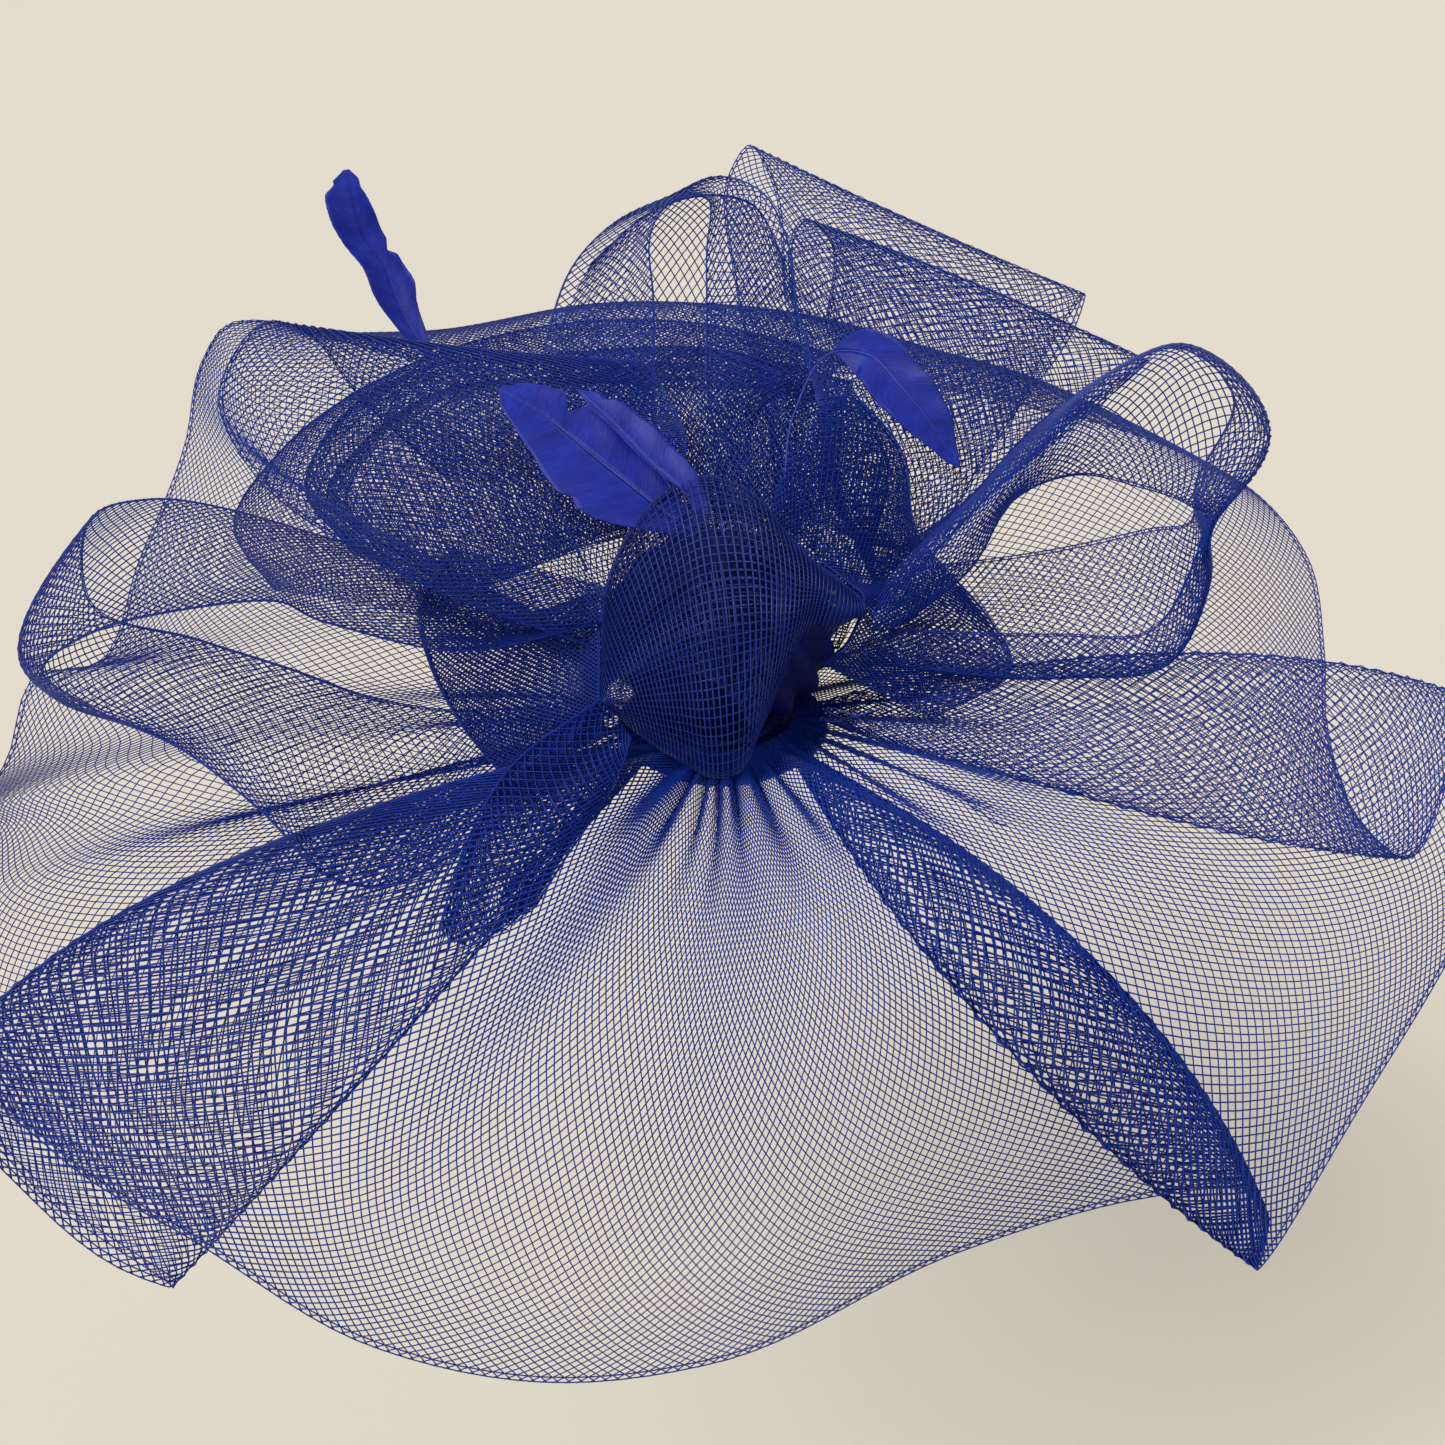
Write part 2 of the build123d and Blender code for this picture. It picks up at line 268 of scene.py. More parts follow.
def surfaceMaterial(name, look):
    # slow noise sets the colour, fine noise sets gloss and relief; stretch makes streaks, as in feathers and ribbon
    material, tree, shader = startMaterial(name)
    place = tree.nodes.new("ShaderNodeTexCoord").outputs["UV" if look.get("ownUv") else "Object"]
    stretch = addNode(tree, "ShaderNodeMapping", Scale=look.get("stretch", (1, 1, 1)))
    slow = addNode(tree, "ShaderNodeTexNoise", Scale=look["driftScale"], Detail=3.0, Roughness=0.6)
    fine = addNode(tree, "ShaderNodeTexNoise", Scale=look["fineScale"], Detail=3.0)
    tree.links.new(place, stretch.inputs["Vector"])
    tree.links.new(stretch.outputs["Vector"], slow.inputs["Vector"])
    tree.links.new(stretch.outputs["Vector"], fine.inputs["Vector"])
    both = addNode(tree, "ShaderNodeMath", {"operation": "MULTIPLY_ADD"})
    both.inputs[1].default_value = 0.35
    tree.links.new(fine.outputs["Fac"], both.inputs[0])
    tree.links.new(slow.outputs["Fac"], both.inputs[2])
    tree.links.new(colourRamp(tree, both.outputs[0], look["colours"]), shader.inputs["Base Color"])
    rough = addNode(tree, "ShaderNodeMapRange", To_Min=look["rough"] - 0.08, To_Max=look["rough"] + 0.1)
    tree.links.new(fine.outputs["Fac"], rough.inputs["Value"])
    tree.links.new(rough.outputs["Result"], shader.inputs["Roughness"])
    shader.inputs["Specular IOR Level"].default_value = look["gloss"]
    if look.get("sheen"):
        shader.inputs["Sheen Weight"].default_value = look["sheen"]
        shader.inputs["Sheen Roughness"].default_value = 0.4
        shader.inputs["Sheen Tint"].default_value = (0.45, 0.55, 1.0, 1)
    if look.get("metal"):
        shader.inputs["Metallic"].default_value = look["metal"]
    if look.get("relief"):
        bump = addNode(tree, "ShaderNodeBump", Strength=look["relief"], Distance=0.0003)
        tree.links.new(fine.outputs["Fac"], bump.inputs["Height"])
        tree.links.new(bump.outputs["Normal"], shader.inputs["Normal"])
    return material


crinBlue = surfaceMaterial("crinBlue", {
    "driftScale": 9.0, "fineScale": 900.0, "rough": 0.36, "gloss": 0.3,
    "colours": [(0.35, (0.002, 0.017, 0.20)), (0.62, (0.004, 0.030, 0.32)), (0.9, (0.010, 0.054, 0.46))],
})
knotBlue = surfaceMaterial("knotBlue", {
    "driftScale": 14.0, "fineScale": 900.0, "rough": 0.3, "gloss": 0.45,
    "colours": [(0.35, (0.002, 0.012, 0.15)), (0.62, (0.005, 0.022, 0.26)), (0.9, (0.02, 0.050, 0.38))],
})
# packed crin: the same blue nylon as the threads, painted much darker. The darkness is painted shade of the crowded
# layers, on top of the real crin blue.
packedCrinShade = surfaceMaterial("packedCrinShade", {
    "driftScale": 60.0, "fineScale": 1500.0, "rough": 0.6, "gloss": 0.15, "relief": 0.6,
    "colours": [(0.35, (0.0005, 0.003, 0.05)), (0.9, (0.001, 0.008, 0.12))],
})
featherBlue = surfaceMaterial("featherBlue", {
    "ownUv": True, "stretch": (1.0, 0.05, 1.0), "driftScale": 9.0, "fineScale": 70.0,
    "rough": 0.45, "gloss": 0.3, "sheen": 0.08, "relief": 0.3,
    "colours": [(0.4, (0.002, 0.010, 0.22)), (0.62, (0.004, 0.017, 0.33)), (0.85, (0.010, 0.035, 0.45))],
})
shaftBlue = surfaceMaterial("shaftBlue", {
    "driftScale": 40.0, "fineScale": 600.0, "rough": 0.35, "gloss": 0.5,
    "colours": [(0.3, (0.006, 0.018, 0.28)), (0.8, (0.015, 0.04, 0.42))],
})
feltBlue = surfaceMaterial("feltBlue", {
    "driftScale": 90.0, "fineScale": 1400.0, "rough": 0.9, "gloss": 0.1, "sheen": 0.6, "relief": 0.9,
    "colours": [(0.35, (0.003, 0.009, 0.10)), (0.85, (0.007, 0.020, 0.18))],
})
stiffBlue = surfaceMaterial("stiffBlue", {
    "driftScale": 30.0, "fineScale": 2200.0, "rough": 0.7, "gloss": 0.2, "relief": 0.7,
    "colours": [(0.35, (0.002, 0.008, 0.10)), (0.85, (0.005, 0.018, 0.19))],
})
clipSteel = surfaceMaterial("clipSteel", {
    "driftScale": 50.0, "fineScale": 3000.0, "rough": 0.28, "gloss": 0.5, "metal": 1.0, "relief": 0.05,
    "colours": [(0.3, (0.42, 0.42, 0.43)), (0.8, (0.60, 0.60, 0.61))],
})
nodeMaterials = {
    "base_disc": stiffBlue, "clip_base": clipSteel, "clip_hinge_pin": clipSteel,
    "clip_lever": clipSteel, "clip_spring": clipSteel,
}
for node, material in nodeMaterials.items():
    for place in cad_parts[node].material_slots:
        place.material = material
print("materials done")

# Brim. Each row is (outer edge, half-way point, bearing on the neck in degrees), counted round from the front.
brimLook = {
    "pitch": 2.6, "radius": 0.15, "step": 5.8, "ease": 0.35,
    "heavier": ((0.135, 0.035, 0.8), (0.90, 0.05, 0.7)),  # the front flutes: (share of the way round, spread, extra)
}
brimShape = {
    "neckRadius": 17.0,
    "neckHeight": 7.0,
    "pleats": {"count": 38, "reach": 0.42, "crowd": 0.7, "height": 1.6},
    "rows": (
        ((-39, -107, -96), (-12, -83, -16), -95),
        ((-1, -105, -92), (4, -84, -13), -85),
        ((51, -91, -74), (28, -76, -11), -72),
        ((93, -83, -66), (48, -65, -6), -61),
        ((113, -80, -67), (62, -58, -5), -53),
        ((119, -84, -70), (75, -62, -13), -46),
        ((116, -92, -71), (65, -74, -14), -42),
        ((113, -97, -72), (51, -80, -16), -38),
        ((119, -91, -73), (59, -68, -12), -33),
        ((141, -69, -54), (81, -52, -6), -26),
        ((163, -48, -31), (97, -41, 2), -18),
        ((179, -30, -14), (104, -29, 9), -11),
        ((182, -15, 3), (106, -16, 18), -5),
        ((172, -12, 18), (100, -12, 30), 0),
        ((161, -30, 12), (97, -28, 23), 5),
        ((148, -45, -3), (92, -41, 6), 10),
        ((143, -32, -2), (91, -29, 10), 16),
        ((142, -10, 7), (87, -9, 18), 23),
        ((149, 16, 14), (87, 12, 25), 31),
        ((153, 47, 26), (82, 35, 33), 42),
        ((145, 73, 34), (76, 61, 44), 54),
        ((123, 97, 39), (59, 84, 55), 66),
        ((83, 119, 43), (38, 94, 61), 77),
        ((42, 131, 47), (19, 102, 66), 87),
        ((-1, 137, 50), (-2, 105, 68), 96),
        ((-50, 136, 52), (-31, 102, 68), 105),
        ((-91, 129, 52), (-60, 95, 62), 114),
        ((-116, 123, 61), (-83, 87, 56), 123),
        ((-129, 115, 68), (-95, 74, 48), 130),
        ((-140, 109, 69), (-102, 64, 43), 136),
        ((-145, 97, 62), (-101, 53, 36), 142),
        ((-147, 78, 45), (-84, 42, 33), 147),
        ((-155, 52, 23), (-87, 29, 25), 155),
        ((-162, 25, 5), (-92, 16, 18), 163),
        ((-170, 15, 9), (-95, 4, 15), 171),
        ((-173, -5, -4), (-101, -8, 11), 178),
        ((-177, -18, -10), (-116, -20, 6), 184),
        ((-173, -23, -10), (-109, -29, 2), 190),
        ((-181, -40, -27), (-113, -34, -3), 197),
        ((-179, -55, -50), (-106, -38, -13), 204),
        ((-157, -71, -79), (-84, -45, -25), 211),
        ((-125, -86, -93), (-61, -56, -29), 218),
        ((-133, -88, -84), (-66, -58, -20), 223),
        ((-157, -80, -60), (-88, -54, -7), 229),
        ((-169, -76, -39), (-106, -55, 3), 235),
        ((-150, -83, -39), (-91, -60, 6), 241),
        ((-131, -91, -51), (-71, -69, 0), 248),
        ((-112, -96, -62), (-53, -76, -7), 255),
        ((-75, -105, -86), (-32, -81, -13), 260),
    ),
}


def brimSheet(shape):
    # neck point = (r cos a, r sin a, height); each section is the parabola neck, half-way, edge
    rows = shape["rows"]
    bearing = np.radians([row[2] for row in rows])
    r = shape["neckRadius"]
    neck = np.stack([r * np.cos(bearing), r * np.sin(bearing), 0 * bearing + shape["neckHeight"]], axis=1)
    middle = np.array([row[1] for row in rows], float)
    edge = np.array([row[0] for row in rows], float)
    return CrinSheet(np.stack([neck, middle, edge], axis=1), closed=True, pleats=shape["pleats"])


# the brim is two lengths of crin joined into a ring, so it is two nets of half the ring each
brimSurface = brimSheet(brimShape)
for name, part in (("brimNetRight", (0.0, 0.5)), ("brimNetLeft", (0.5, 1.0))):
    half = crinNet(name, brimSurface, brimLook, crinBlue, part=part)
    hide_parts("brim")
print("brim done", round(brimSurface.length), "x", round(brimSurface.width), "mm")

# Loops, folds and petals: guide rails across each strip, from one selvedge to the other, each from root to root.
loopLook = {"pitch": 2.5, "radius": 0.175, "step": 3.6, "ease": 0.3}
loopShapes = {
    "loopRight": {"node": "loop_right", "rails": (
        (
            (43, 4, 29), (57, 4, 43), (66, 7, 59), (79, 6, 65), (93, 3, 63), (103, 0, 60), (106, -3, 56),
            (103, -6, 45), (96, -9, 34), (77, -7, 32), (39, 1, 29),
        ),
        (
            (33, 0, 31), (48, -1, 49), (65, 2, 68), (80, 7, 82), (99, 9, 88), (119, 4, 73), (108, -1, 55),
            (110, -2, 44), (102, -10, 29), (78, -10, 24), (32, 1, 21),
        ),
        (
            (40, 35, 30), (61, 41, 44), (78, 48, 61), (94, 50, 73), (110, 50, 80), (124, 42, 69),
            (114, 30, 53), (115, 30, 44), (106, 33, 40), (86, 35, 34), (45, 34, 28),
        ),
    )},
    "archLoop": {"node": "arch_loop", "rails": (
        (
            (-26, 38, 38), (-32, 54, 56), (-45, 64, 69), (-43, 73, 83), (-37, 81, 94), (-27, 87, 102),
            (-14, 91, 107), (-1, 91, 112), (10, 87, 109), (16, 80, 100), (19, 69, 84), (22, 60, 70),
            (10, 58, 62), (8, 38, 38),
        ),
        (
            (-20, 35, 38), (-24, 50, 56), (-31, 58, 71), (-29, 66, 85), (-26, 76, 98), (-20, 83, 105),
            (-8, 86, 109), (-1, 85, 110), (3, 81, 105), (6, 73, 95), (7, 64, 82), (9, 57, 70), (4, 53, 60),
            (3, 36, 38),
        ),
        (
            (-14, 32, 38), (-16, 46, 56), (-17, 54, 71), (-17, 63, 88), (-18, 72, 101), (-14, 79, 107),
            (-5, 81, 109), (-3, 79, 106), (-4, 74, 98), (-4, 67, 88), (-4, 60, 79), (-4, 54, 70), (-2, 48, 58),
            (-2, 34, 38),
        ),
    )},
    "crownFoldBack": {"node": "crown_fold_back", "rails": (
        (
            (14, 56, 36), (13, 83, 47), (4, 110, 78), (2, 127, 106), (8, 136, 112), (14, 139, 102),
            (18, 123, 72),
        ),
        (
            (26, 53, 32), (34, 62, 35), (37, 89, 68), (43, 107, 96), (53, 113, 96), (56, 118, 87),
            (45, 102, 58),
        ),
        (
            (38, 50, 28), (52, 45, 30), (75, 64, 57), (91, 73, 79), (95, 84, 84), (91, 89, 73), (76, 78, 46),
        ),
    )},
    "crownFoldFront": {"node": "crown_fold_front", "rails": (
        (
            (24, 38, 46), (25, 53, 58), (19, 78, 79), (18, 95, 95), (23, 102, 99), (29, 105, 93), (28, 94, 72),
        ),
        (
            (31, 36, 40), (32, 35, 41), (46, 54, 60), (56, 73, 83), (63, 83, 88), (65, 86, 78), (49, 72, 51),
        ),
        (
            (38, 34, 34), (38, 18, 29), (68, 34, 51), (92, 47, 68), (107, 59, 74), (102, 66, 64), (74, 55, 44),
        ),
    )},
    "loopUpperLeft": {"node": "loop_upper_left", "rails": (
        (
            (-30, -3, 26), (-75, 3, 43), (-108, 15, 63), (-117, 29, 75), (-108, 49, 87), (-101, 59, 79),
            (-95, 61, 67), (-71, 54, 44),
        ),
        (
            (-20, 17, 39), (-41, 24, 54), (-60, 35, 67), (-69, 46, 74), (-66, 55, 79), (-61, 62, 73),
            (-58, 63, 60), (-42, 55, 44),
        ),
        (
            (-10, 33, 53), (-9, 42, 60), (-12, 49, 65), (-16, 56, 70), (-21, 61, 73), (-20, 65, 66),
            (-19, 63, 54), (-16, 58, 44),
        ),
    )},
    "loopLowerLeft": {"node": "loop_lower_left", "rails": (
        (
            (-28, 0, 31), (-60, -15, 32), (-85, -19, 41), (-98, -20, 47), (-113, -24, 47), (-131, -28, 44),
            (-142, -33, 37), (-132, -37, 31), (-111, -44, 24), (-95, -52, 15), (-79, -61, 4), (-68, -60, 2),
            (-54, -51, 5), (-42, -39, 9), (-29, -13, 17),
        ),
        (
            (-30, 14, 27), (-58, 5, 27), (-82, 5, 37), (-102, 6, 44), (-118, 5, 46), (-140, 2, 46),
            (-154, -14, 38), (-148, -21, 28), (-119, -23, 24), (-99, -28, 17), (-79, -35, 8), (-67, -35, 5),
            (-54, -29, 10), (-40, -23, 12), (-29, -7, 16),
        ),
        (
            (-32, 27, 25), (-55, 23, 22), (-73, 26, 32), (-103, 28, 42), (-120, 29, 47), (-138, 28, 50),
            (-152, 23, 46), (-150, 10, 32), (-124, 5, 24), (-102, 0, 19), (-80, -6, 14), (-66, -7, 12),
            (-52, -7, 12), (-38, -6, 13), (-28, 2, 15),
        ),
    )},
    "backRuffle": {"node": "back_ruffle", "rails": (
        (
            (-77, 30, 22), (-64, 33, 26), (-52, 37, 29), (-39, 42, 33), (-21, 46, 36), (-1, 49, 38),
            (20, 48, 36),
        ),
        (
            (-99, 55, 24), (-111, 68, 34), (-105, 82, 45), (-84, 93, 56), (-46, 99, 60), (-6, 100, 62),
            (35, 89, 56),
        ),
        (
            (-95, 64, 17), (-106, 81, 27), (-101, 94, 37), (-82, 106, 49), (-44, 110, 51), (-5, 110, 52),
            (35, 98, 48),
        ),
    )},
    "ruffleLining": {"pitch": 2.0, "node": "back_ruffle", "rails": (
        (
            (-78, 46, 10), (-65, 49, 15), (-52, 54, 19), (-39, 59, 22), (-20, 63, 26), (1, 67, 28),
            (21, 65, 25),
        ),
        (
            (-93, 64, 17), (-98, 75, 27), (-91, 87, 34), (-72, 95, 40), (-38, 99, 41), (-5, 99, 41),
            (32, 92, 38),
        ),
        (
            (-101, 72, 22), (-112, 82, 28), (-105, 95, 37), (-85, 107, 49), (-46, 112, 53), (-6, 114, 56),
            (35, 103, 49),
        ),
    )},
    "ruffleOuter": {"pitch": 2.0, "node": "back_ruffle", "rails": (
        (
            (-70, 21, 21), (-63, 24, 25), (-55, 27, 29), (-43, 32, 32), (-26, 37, 38), (-6, 42, 41),
            (15, 42, 41),
        ),
        (
            (-100, 39, 17), (-103, 50, 29), (-94, 63, 41), (-74, 76, 50), (-42, 84, 55), (-6, 87, 57),
            (24, 81, 54),
        ),
        (
            (-120, 49, 15), (-133, 64, 27), (-122, 83, 42), (-94, 102, 57), (-49, 115, 67), (-7, 117, 67),
            (37, 106, 60),
        ),
    )},
    "archPanel": {"node": "arch_panel", "rails": (
        (
            (-43, 67, 66), (-27, 69, 65), (-11, 68, 64), (5, 68, 64), (20, 67, 66),
        ),
        (
            (-41, 77, 79), (-24, 82, 86), (-8, 83, 88), (6, 81, 86), (19, 75, 80),
        ),
        (
            (-34, 84, 92), (-19, 91, 103), (-6, 93, 107), (8, 91, 105), (16, 82, 93),
        ),
    )},
    "gatherFanLeft": {"pitch": 1.9, "lifts": (0, 1.2, -1.2), "node": "loop_lower_left", "rails": (
        (
            (-26, 8, 36), (-28, 1, 29), (-28, -5, 23), (-28, -11, 17), (-27, -17, 11),
        ),
        (
            (-44, 16, 37), (-48, 7, 27), (-47, -2, 20), (-45, -11, 13), (-37, -20, 6),
        ),
        (
            (-65, 24, 39), (-73, 14, 27), (-69, 2, 18), (-61, -10, 10), (-49, -23, 2),
        ),
    )},
    "gatherFanRight": {"pitch": 1.9, "lifts": (0, 1.2), "node": "loop_right", "rails": (
        (
            (11, 22, 47), (18, 17, 42), (28, 9, 37), (32, 2, 33), (29, -4, 29), (22, -8, 25),
        ),
        (
            (19, 42, 60), (31, 30, 49), (38, 19, 38), (47, 6, 29), (46, -2, 24), (34, -10, 19),
        ),
        (
            (32, 56, 67), (44, 44, 56), (47, 28, 42), (64, 11, 25), (68, 0, 20), (48, -12, 12),
        ),
    )},
    "petalLeft": {"node": "petal_left", "rails": (
        (
            (-20, 61, 71), (-16, 68, 72), (-5, 74, 73), (6, 70, 71), (15, 62, 70),
        ),
        (
            (-17, 46, 61), (-11, 52, 61), (-2, 55, 63), (8, 53, 62), (17, 47, 60),
        ),
        (
            (-8, 30, 49), (-4, 32, 48), (3, 34, 47), (10, 31, 46), (19, 25, 43),
        ),
    )},
    "petalRight": {"node": "petal_right", "rails": (
        (
            (23, 68, 68), (31, 62, 65), (39, 50, 58), (41, 40, 53), (38, 27, 43),
        ),
        (
            (17, 49, 57), (23, 44, 54), (28, 35, 49), (31, 26, 43), (34, 17, 38),
        ),
        (
            (16, 28, 45), (20, 23, 41), (23, 18, 39), (26, 14, 35), (29, 8, 32),
        ),
    )},
    "foldLowerLeft": {"lifts": (0, 0.9, -0.9), "node": "fold_lower_left", "rails": (
        (
            (-27, -18, 21), (-46, -36, 14), (-53, -51, 6), (-58, -64, -7),
        ),
        (
            (-23, -24, 19), (-35, -45, 11), (-45, -60, 4), (-50, -69, -6),
        ),
        (
            (-20, -28, 17), (-26, -39, 9), (-34, -51, 2), (-40, -58, -5),
        ),
    )},
}
for name, shape in loopShapes.items():
    surface = CrinSheet(railStations(shape["rails"]))
    for layer, lift in enumerate(shape.get("lifts", (0,))):
        weave = {**loopLook, "pitch": shape.get("pitch", loopLook["pitch"]), "lift": lift}
        loop = crinNet(f"{name}Net{layer or ''}", surface, weave, crinBlue)
        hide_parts(shape["node"])
print("loops done")

# Knot: a strip wrapped over the gathered roots, in an outer turn, an inner turn and the part behind.
knotLook = {"pitch": 1.9, "radius": 0.2, "step": 3.0, "slant": 0.05}
knotShapes = {
    "knotOuter": {"fullWidth": 66, "rails": (
        (
            (-27, -12, 19), (-28, -2, 28), (-26, 5, 41), (-18, 14, 53), (-6, 18, 60), (5, 16, 58), (16, 9, 48),
            (24, 4, 42), (30, 4, 37), (33, 1, 35),
        ),
        (
            (-28, -14, 19), (-25, -23, 28), (-19, -26, 36), (-11, -28, 43), (-3, -29, 48), (6, -27, 49),
            (15, -23, 47), (21, -15, 44), (28, -9, 39), (33, -2, 35),
        ),
        (
            (-28, -15, 19), (-23, -22, 19), (-16, -26, 15), (-9, -29, 12), (-2, -31, 9), (4, -30, 10),
            (9, -23, 18), (15, -14, 26), (24, -7, 32), (32, -3, 35),
        ),
    )},
    "knotInner": {"fullWidth": 52, "rails": (
        (
            (-27, -9, 18), (-27, 1, 26), (-22, 6, 38), (-14, 13, 48), (-3, 18, 55), (6, 15, 53), (14, 9, 45),
            (22, 4, 39), (31, 2, 34),
        ),
        (
            (-27, -9, 19), (-23, -16, 29), (-16, -21, 39), (-7, -22, 46), (0, -24, 49), (7, -23, 49),
            (15, -19, 44), (20, -12, 40), (28, -5, 36),
        ),
        (
            (-27, -10, 20), (-21, -20, 29), (-11, -25, 33), (-4, -28, 33), (0, -29, 31), (4, -28, 26),
            (7, -26, 19), (12, -17, 23), (24, -7, 30),
        ),
    )},
    "knotBehind": {"fullWidth": 48, "rails": (
        (
            (-28, -2, 28), (-26, 6, 40), (-18, 15, 52), (-6, 19, 59), (5, 17, 57), (16, 10, 47), (24, 6, 41),
            (31, 4, 36),
        ),
        (
            (-28, 8, 18), (-27, 17, 28), (-19, 24, 36), (-6, 28, 40), (6, 27, 39), (17, 22, 34), (26, 14, 30),
            (31, 8, 29),
        ),
        (
            (-25, 8, 8), (-22, 16, 12), (-15, 21, 16), (-5, 23, 18), (6, 23, 18), (15, 20, 17), (22, 14, 16),
            (28, 8, 20),
        ),
    )},
}
for name, shape in knotShapes.items():
    surface = CrinSheet(railStations(shape["rails"]))
    wrap = crinNet(name + "Net", surface, {**knotLook, "fullWidth": shape["fullWidth"]}, knotBlue, squareThreads)
    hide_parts("knot")

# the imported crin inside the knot: an ellipsoid creased by radius * (1 + depth * sin(count * a + 3 * sin(2 * b)))
knotHeart = {"middle": (0, -3, 31), "size": (25, 22, 24), "creases": 17, "depth": 0.06, "lean": 25.0}


def creasedBall(look, rows=60, columns=160):
    b = np.linspace(-pi / 2, pi / 2, rows)[:, None]
    a = np.linspace(0, 2 * pi, columns, endpoint=False)[None]
    swell = 1 + look["depth"] * np.cos(b) * np.sin(look["creases"] * a + 3 * np.sin(2 * b))
    ball = np.stack([np.cos(b) * np.cos(a), np.cos(b) * np.sin(a), np.sin(b) + 0 * a], axis=-1)
    ball = ball * swell[..., None] * np.array(look["size"], float)
    lean = radians(look["lean"])
    y, z = ball[..., 1].copy(), ball[..., 2].copy()
    ball[..., 1], ball[..., 2] = y * cos(lean) - z * sin(lean), y * sin(lean) + z * cos(lean)
    return (ball + np.array(look["middle"], float)).reshape(-1, 3), gridFaces(rows, columns, closed=True)


# the packed crin inside the knot is real; its dark colour is painted shade of the layers deep inside the knot
heart = meshObject("knotHeart", *creasedBall(knotHeart), packedCrinShade)
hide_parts("knot")
print("knot done")

# Loose thread ends at the cut edge of the crin beside the knot: each is (start, end, sideways curl).
looseEnds = {"radius": 0.16, "ends": (
    ((23, -19, 19), (33, -24, 22), 2.2), ((24, -18, 18), (30, -27, 21), -1.8), ((22, -20, 17), (26, -28, 22), 1.5),
    ((52, -24, 1), (60, -30, 0), 1.2), ((54, -26, 0), (60, -33, 2), -1.4), ((56, -28, -1), (64, -31, -4), 1.0),
)}


def curledEnds(look):
    # point = start + s * run + curl * sin(pi s) * side, with the side square to the run
    s = np.linspace(0, 1, 14)[None, :, None]
    start = np.array([e[0] for e in look["ends"]], float)[:, None]
    run = np.array([e[1] for e in look["ends"]], float)[:, None] - start
    side = unit(np.cross(run, np.array([0.3, 0.2, 1.0])))
    curl = np.array([e[2] for e in look["ends"]], float)[:, None, None]
    lines = start + s * run + curl * (np.sin(pi * s) * side + 0.4 * np.sin(2 * pi * s) * np.array([0, 0, 1.0]))
    return threadTubes(lines, np.broadcast_to([0.1, 0.3, 0.9], lines.shape), look["radius"], sides=5)


loose = meshObject("looseThreadEnds", *curledEnds(looseEnds), knotBlue)

# Feathers. shaft: guide points from the knot to the tip, of which the vane covers the part from vaneFrom on.
# left and right: half widths at even steps along the vane. cup lifts the edges, notches are (side, place, depth).
featherLook = {
    "barbs": 110, "across": 9, "lean": 0.14, "ripple": 0.25, "thickness": 0.12, "shaftRadius": 0.4, "fray": 0.02,
}
featherShapes = {
    "featherFrontLeft": {
        "nodes": ("feather_front_left_vane", "feather_front_left_quill"), "facing": (0.1, -0.6, 0.8),
        "shaft": ((-1, 4, 40), (-4, 9, 46), (-15, 16, 53), (-29, 25, 61), (-41, 33, 68), (-53, 38, 74)),
        "vaneFrom": 0.08,
        "left": (0.4, 1.4, 5.2, 10, 13, 14, 13, 11, 9, 6, 2.5),
        "right": (0.4, 3, 4.8, 6.4, 7.6, 8.6, 9.4, 9.0, 8, 6, 2.5),
        "cup": 0.12, "twist": 0.0, "notches": ((1, 0.72, 0.5), (-1, 0.42, 0.12)),
    },
    "featherFrontRight": {
        "nodes": ("feather_front_right_vane", "feather_front_right_quill"), "facing": (0.1, -0.6, 0.8),
        "shaft": ((-1, 3, 42), (-4, 7, 49), (-8, 13, 57), (-17, 20, 63), (-25, 27, 69), (-34, 34, 75)),
        "vaneFrom": 0.12,
        "left": (0.3, 0.4, 0.5, 0.6, 0.8, 1.0, 1.2, 1.4, 1.4, 1.2, 0.4),
        "right": (0.5, 2, 3.6, 4.8, 5.6, 6, 6, 5.6, 4.8, 3.2, 0.8),
        "cup": 0.3, "twist": 0.1, "notches": ((1, 0.86, 0.3),),
    },
    "featherRight": {
        "nodes": ("feather_right_vane", "feather_right_quill"), "facing": (0.45, -0.75, 0.5),
        "shaft": ((15, 34, 50), (18, 50, 64), (28, 60, 76), (36, 58, 76), (44, 51, 70), (52, 44, 62), (58, 38, 54)),
        "vaneFrom": 0.46,
        "left": (0.8, 5.6, 8.2, 9.8, 10.2, 9.8, 9.0, 7.6, 5.4, 3, 0.6),
        "right": (0.8, 4.4, 6.4, 7.4, 7.8, 7.6, 7.2, 6.2, 4.8, 3, 0.6),
        "cup": -0.12, "twist": 0.0, "notches": (),
    },
    "featherTall": {
        "nodes": ("feather_tall_vane", "feather_tall_quill"), "facing": (0.3, -0.75, 0.6),
        "shaft": ((-33, 22, 34), (-46, 46, 48), (-62, 58, 64), (-77, 66, 77), (-82, 71, 84), (-86, 76, 93),
                  (-91, 79, 100), (-93, 81, 107), (-94, 83, 115)),
        "vaneFrom": 0.58,
        "left": (1.2, 2.4, 3.4, 4.6, 5.4, 5.2, 4.8, 5.2, 5.8, 5.6, 3.2),
        "right": (1.2, 2.4, 3.4, 4.4, 5.6, 4.6, 4.6, 5.2, 6.0, 5.4, 3.0),
        "cup": 0.55, "twist": 0.9, "notches": ((1, 0.5, 0.35), (-1, 0.93, 0.25), (1, 0.9, 0.2)),
    },
}


